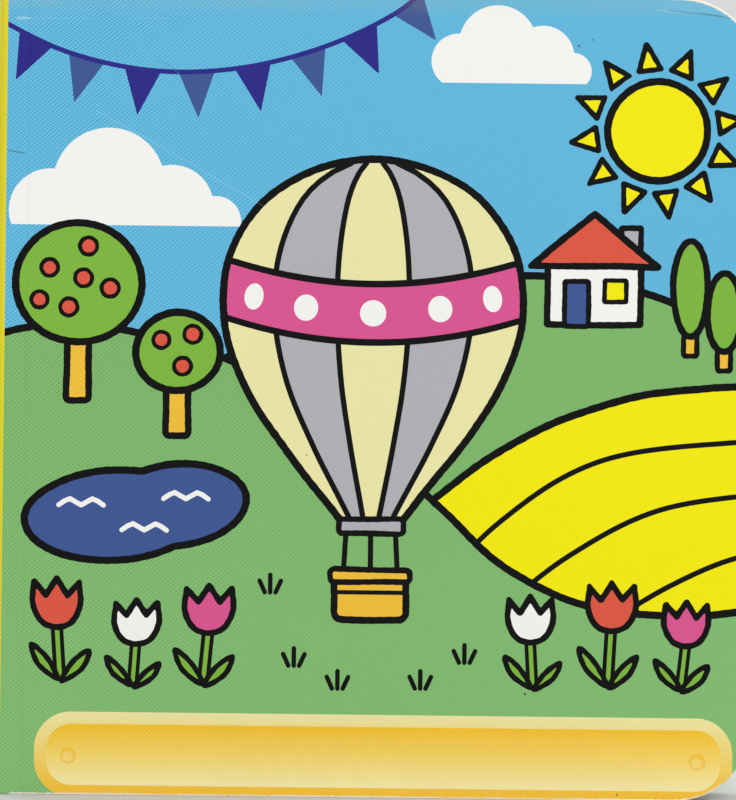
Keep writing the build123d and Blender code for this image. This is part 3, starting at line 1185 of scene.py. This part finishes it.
def map_inner(u, v):
    return 0.7385 + u * S2, 0.004 + v * S2


def map_rim(run, d, start):
    row = int(start // 165.0)
    return 0.004 + (run - 165.0 * row) * S1, 0.79 + row * 0.02 + d * S1


cover_outline = Outline(WIDTH, HEIGHT, (CORNER, CORNER, 0, 0), fold_inset, rim_inset)

SCORE_AT, SCORE_HALF, SCORE_DEEP = 6.0, 0.7, 0.12
SCORE_R = (SCORE_HALF**2 + SCORE_DEEP**2) / (2 * SCORE_DEEP)


def score_bend(u, v):
    """The pressed score of a cover, a shallow round groove."""
    x = u - SCORE_AT
    return max(0.0, SCORE_DEEP - SCORE_R + math.sqrt(SCORE_R**2 - x * x)) if abs(x) < SCORE_HALF else 0.0


score_lines = [np.array([(SCORE_AT + x, -1.0), (SCORE_AT + x, HEIGHT + 1.0)]) for x in np.linspace(-SCORE_HALF, SCORE_HALF, 9)]

crease_a, crease_b = np.array([133.6, 162.65]), np.array([150.8, 160.75])
crease_e = (crease_b - crease_a) / np.linalg.norm(crease_b - crease_a)
crease_n = np.array([-crease_e[1], crease_e[0]])


def corner_bend(u, v):
    """The head fore-edge corner, pushed back a little beyond its crease."""
    p = np.array([u, v]) - crease_a
    off, along = float(p @ crease_n), float(p @ crease_e)
    if off <= 0 or along <= 0:
        return 0.0
    return min(0.075 * off, 0.2) * min(1.0, along / 6.0)


front = Shell()
board(
    front, cover_outline, BOARD, LEVELS,
    lambda u, v, d: (X_FOLD + u, f_lo[1] + d, v),
    front_print(), plain_print("grass", "sky", [(-20, 58), (0, 58), (14, 58.4), (50, 64), (100, 57), (170, 48)], [([(60, 120, 8), (71, 125, 10.5), (84, 121, 8), (93, 118, 5)], 115)]),
    map_outer, map_inner, map_rim, wear_at=rim_wear(0.34, 0.42, 0.16, 0.22), wrap_spine=True,
    forced=[inset_line(BAND), np.array([crease_a, crease_b])] + score_lines,
    bend=lambda u, v: corner_bend(u, v) + score_bend(u, v),
)
front_ob = front.make("front_cover_board", [print_mat, edge_mat])
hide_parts("front_cover")
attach(front_ob, "front_board")

back = Shell()
board(
    back, cover_outline, BOARD, LEVELS,
    lambda u, v, d: (X_FOLD + u, b_hi[1] - d, v),
    back_print(), plain_print("grass", "sky", [(-20, 58), (0, 58), (14, 57.6), (50, 53), (110, 60), (170, 66)]),
    map_outer, map_inner, map_rim, wear_at=rim_wear(0.34, 0.2, 0.2, 0.15), wrap_spine=True,
    forced=[inset_line(BAND)] + score_lines, bend=score_bend,
)
back_ob = back.make("back_cover_board", [print_mat, edge_mat], flip=True)
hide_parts("back_cover")
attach(back_ob, "back_board")

# ---------------------------------------------------------------- spine panel
spine_w, spine_t = s_hi[1] - s_lo[1], s_hi[0] - s_lo[0]
tiny = lambda d: quarter(0.08, d) if d < 0.08 else quarter(0.08, spine_t - d)
spine_shell = Shell()
board(
    spine_shell, Outline(spine_w, HEIGHT, (0.02, 0.02, 0, 0), tiny, tiny), spine_t,
    [0.0, 0.03, 0.08, 0.4, spine_t - 0.08, spine_t - 0.03, spine_t],
    lambda u, v, d: (s_lo[0] + d, s_hi[1] - u, v),
    single("spine"), single("white"),
    lambda u, v: (0.01 + u * 0.0055, 0.01 + v * 0.0055), lambda u, v: (0.2 + u * 0.0055, 0.01 + v * 0.0055),
    lambda r, d, r0: (0.4 + 0.05 * int(r0 // 165) + d * 0.0055, 0.01 + (r - 165 * int(r0 // 165)) * 0.0055), print_depth=0.08,
)
spine_ob = spine_shell.make("spine_panel", [print_mat, edge_mat])
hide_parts("spine")
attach(spine_ob, "book_block")

# ---------------------------------------------------------------- leaves
P_LEVELS = [0.0, 0.04, 0.16, 0.6, BOARD / 2, BOARD - 0.6, BOARD - 0.16, BOARD - 0.04, BOARD]
leaf_w = p_hi[0] - p_lo[0]
soft = lambda d: quarter(0.16, d) if d < 0.16 else quarter(0.16, BOARD - d)
none = lambda d: 0.0
leaf_outline = Outline(leaf_w, HEIGHT, (CORNER, CORNER, 0, 0), none, soft)
page_one = plain_print("grass", "sky", [(-20, 58), (0, 58), (14, 57.6), (48, 50), (100, 56), (170, 48)], [([(20, 128, 6), (29, 132, 8.5), (40, 129, 6.5), (47, 126.5, 4.2)], 124)])
page_last = plain_print("grass", "sky", [(-20, 58), (0, 58), (14, 58.4), (48, 62), (100, 52), (170, 44)])
blank = single("white")
leaves = Shell()
for k in range(LEAVES):
    y0 = p_lo[1] + k * (BOARD + AIR)
    ox, oy = (k % 2) * 0.5, (k // 2) * 0.5
    board(
        leaves, leaf_outline, BOARD, P_LEVELS,
        lambda u, v, d, y0=y0: (p_lo[0] + u, y0 + d, v),
        page_one if k == 0 else blank, page_last if k == LEAVES - 1 else blank,
        lambda u, v: (0.004 + ox + u * 0.0022, 0.004 + oy + v * 0.0022),
        lambda u, v: (0.35 + ox + u * 0.0009, 0.004 + oy + v * 0.0009),
        lambda r, d, r0: (0.004 + ox + (r - 165 * int(r0 // 165)) * 0.0027, 0.38 + oy + 0.012 * int(r0 // 165) + d * 0.0027),
        wear_at=lambda u, v: 0.0, print_depth=0.04, group0=4 * k,
    )
# glued gutter between the leaves
for k in range(LEAVES - 1):
    y0 = p_lo[1] + (k + 1) * BOARD + k * AIR
    x0, x1 = p_lo[0] + 0.02, p_lo[0] + 5.0
    n = leaves.points([(x, y, z) for z in (0.03, HEIGHT - 0.03) for x, y in ((x0, y0 - 0.02), (x1, y0 - 0.02), (x1, y0 + AIR + 0.02), (x0, y0 + AIR + 0.02))])
    for c, q in enumerate(((0, 3, 2, 1), (4, 5, 6, 7), (0, 1, 5, 4), (1, 2, 6, 5), (2, 3, 7, 6), (3, 0, 4, 7))):
        a, b = 0.60 + 0.02 * c, 0.94 + 0.016 * k
        leaves.face([n + i for i in q], 1, 60, EDGE_INK, 0.0, 0.0, 0.3, [(a, b), (a + 0.014, b), (a + 0.014, b + 0.012), (a, b + 0.012)])
leaves_ob = leaves.make("page_leaves", [page_mat, edge_mat])
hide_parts("pages")
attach(leaves_ob, "book_block")


# ---------------------------------------------------------------- lift flaps
def flap(name, node, sign):
    lo, hi = box_mm(node)
    w, h, t = hi[0] - lo[0], hi[2] - lo[2], hi[1] - lo[1]
    inset = lambda d: quarter(0.08, d) if d < 0.08 else quarter(0.06, t - d)
    P = single("lime")
    P.add(rbox(w / 2, h / 2, w / 2 + 5, h / 2 + 5), "black")
    body = Outline(w, h, (14, 14, 5, 5), lambda d: 1.7, lambda d: 1.7).points(0.0, 2.0)
    P.add(poly(body), "lime")
    for x, z in ((20, 14), (40, 22), (26, 38), (45, 46)):
        tuft(P, x, z)
    P.fields = [(*field[:-1], INSIDE * field[-1]) for field in P.fields]
    shell = Shell()
    y = lo[1] if sign < 0 else hi[1]
    board(
        shell, Outline(w, h, (14, 14, 5, 5), inset, inset), t, [0.0, 0.03, 0.08, t / 2, t - 0.06, t - 0.02, t],
        lambda u, v, d: (lo[0] + u, y - sign * d, lo[2] + v),
        P, single("white"),
        lambda u, v: (0.01 + u * 0.009, 0.01 + v * 0.009), lambda u, v: (0.6 + u * 0.005, 0.01 + v * 0.005),
        lambda r, d, r0: (0.01 + (r - 60 * int(r0 // 60)) * 0.015, 0.65 + 0.02 * int(r0 // 60) + d * 0.015), print_depth=0.08,
        forced=[np.array([(7 + x, -1.0), (7 + x, h + 1.0)]) for x in (-0.4, -0.25, 0.25, 0.4)],
        bend=lambda u, v: 0.1 * min(1.0, max(0.0, (0.4 - abs(u - 7)) / 0.15)),
    )
    ob = shell.make(name, [page_mat, edge_mat], flip=sign > 0)
    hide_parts(node)
    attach(ob, "book_block")
    return ob


flap("flap_first", "lift_flap_first", -1)
flap("flap_last", "lift_flap_last", 1)

# ---------------------------------------------------------------- paper over the folds
def ribbon(name, outer, inner, bands, material, slot_name, cover, start, end):
    """A strip of cover paper that runs across a fold; outer and inner are its two sides in plan."""
    shell = Shell()
    loop = list(outer) + list(inner)[::-1]
    n, m = len(loop), len(outer)
    area = sum(a[0] * b[1] - a[1] * b[0] for a, b in zip(loop, loop[1:] + loop[:1]))
    run = np.concatenate([[0.0], np.cumsum([math.hypot(b[0] - a[0], b[1] - a[1]) for a, b in zip(loop, loop[1:] + loop[:1])])])
    zs = [bands[0][0]] + [b[1] for b in bands]
    base = [shell.points([(x, y, z) for x, y in loop]) for z in zs]
    at = lambda r, z: (0.02 + r * 0.0055, 0.02 + z * 0.0055)
    for k, (z0, z1, ink) in enumerate(bands):
        for i in range(n):
            j = (i + 1) % n
            group = 0 if i < m - 1 else 2 if i == m - 1 or i == n - 1 else 1
            shell.face([base[k] + i, base[k] + j, base[k + 1] + j, base[k + 1] + i], 0, group, INKS[ink], INSIDE * SCREEN[ink], 0.0, 0.0,
                       [at(run[i], z0), at(run[i + 1], z0), at(run[i + 1], z1), at(run[i], z1)])
    for level, way in ((0, 1), (len(zs) - 1, -1)):
        for i in range(m - 1):
            q = [i, n - 1 - i, n - 2 - i, i + 1][::way]
            shell.face([base[level] + c for c in q], 0, 3 + level, INKS["white"], 0.0, 0.0, 0.0,
                       [(0.5 + 0.03 * i + du, 0.1 + 0.1 * level + dv) for du, dv in ((0, 0), (0, 0.02), (0.02, 0.02), (0.02, 0))][::way])
    ob = shell.make(name, [material], flip=area < 0)
    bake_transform(ob)
    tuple(start)
    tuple(end)
    return ob


for side, cover in ((1, "front_board"), (-1, "back_board")):
    word = "front" if side > 0 else "back"
    face_y, page_y = abs(f_hi[1]), abs(p_lo[1])        # inside of the cover, face of the page
    place = lambda pts: [(X_FOLD + x, -side * y) for x, y in pts]
    # outside: from the edge of the cover's fold to the spine panel
    step = s_lo[0] - X_FOLD
    t = np.linspace(0, 1, 9)
    mid = (face_y + page_y) / 2
    ease = lambda k: k * k * (3 - 2 * k)
    bridge = [(-0.02 + step * ease(k), page_y + 0.02 - 0.45 * k) for k in t]
    out = [(-0.02, face_y + 0.45), (-0.02, face_y - 0.03), (-0.02, mid + 0.2), (-0.02, mid - 0.2)] + bridge + [(step - 0.02, page_y - 1.2)]
    inn = [(x + 0.07, y) for x, y in out]
    turn_at = ((X_FOLD * MM, -side * (mid + 0.02) * MM, 0), (X_FOLD * MM, -side * (mid - 0.02) * MM, 0))
    ribbon("fold_skin_" + word, place(out), place(inn), [(0.1, HEIGHT - 0.1, "spine")], print_mat, "spine_print", cover, *turn_at)
    # inside: from the inside of the cover round the gutter to the page
    half = face_y - mid
    bend = [(3.2, half - 0.02), (0.40, half - 0.02), (0.28, half - 0.06), (0.20, half - 0.14), (0.16, 0.08)]
    back_of = [(3.2, half + 0.05), (0.40, half + 0.05), (0.25, half + 0.0), (0.15, half - 0.11), (0.10, 0.09)]
    both = lambda pts: [(x, mid + y) for x, y in pts] + [(x, mid - y) for x, y in pts[::-1]]
    ribbon("gutter_paper_" + word, place(both(bend)), place(both(back_of)),
           [(0.12, 57.225, "grass"), (57.225, 58.775, "black"), (58.775, HEIGHT - 0.12, "sky")], page_mat, "page_board", cover, *turn_at)

# ---------------------------------------------------------------- studio
LENS = 150.0
FRAME_MM = 800 / 4.873           # height of the photographed frame at the cover
distance = FRAME_MM * MM / 36.0 * LENS
cam_data = bpy.data.cameras.new("camera")
cam_data.lens, cam_data.sensor_width, cam_data.sensor_fit = LENS, 36.0, "AUTO"
cam_data.clip_start, cam_data.clip_end = 0.05, 20.0
cam = bpy.data.objects.new("camera", cam_data)
bpy.context.scene.collection.objects.link(cam)
cam.matrix_world = (
    Matrix.Translation(((X_FOLD + 76.64) * MM, f_lo[1] * MM - distance, 81.70 * MM))
    @ Matrix.Rotation(math.radians(90), 4, "X")
    @ Matrix.Rotation(math.radians(0.64), 4, "Z")
)
bpy.context.scene.camera = cam

floor_me = bpy.data.meshes.new("floor")
floor_me.from_pydata([(-9, -9, 0), (9, -9, 0), (9, 9, 0), (-9, 9, 0)], [], [(0, 1, 2, 3)])
floor_me.materials.append(floor_material())
floor = bpy.data.objects.new("floor", floor_me)
bpy.context.scene.collection.objects.link(floor)


def area_light(name, place, size, power):
    data = bpy.data.lights.new(name, "AREA")
    data.shape, data.size, data.energy = "DISK", size, power
    ob = bpy.data.objects.new(name, data)
    ob.location = place
    ob.rotation_mode = "QUATERNION"
    ob.rotation_quaternion = (Vector((0, 0, 0.08)) - Vector(place)).to_track_quat("-Z", "Y")
    bpy.context.scene.collection.objects.link(ob)


area_light("key", (0.4, -3.0, 2.0), 1.8, 40.0)
area_light("fill_right", (1.6, -0.9, 0.6), 0.9, 4.0)
area_light("top", (0.0, 0.15, 1.7), 1.2, 6.0)
area_light("back_left", (-1.1, 1.2, 0.8), 0.9, 8.0)
area_light("back_right", (1.1, 1.2, 0.8), 0.9, 8.0)

world = bpy.data.worlds.new("studio")
bpy.context.scene.world = world
world.use_nodes = True
world.node_tree.nodes["Background"].inputs["Color"].default_value = (*STUDIO, 1.0)
world.node_tree.nodes["Background"].inputs["Strength"].default_value = STUDIO_LIGHT
bpy.context.scene.view_settings.view_transform = "Standard"
bpy.context.scene.view_settings.look = "None"

# ---------------------------------------------------------------- end
bpy.context.view_layer.update()
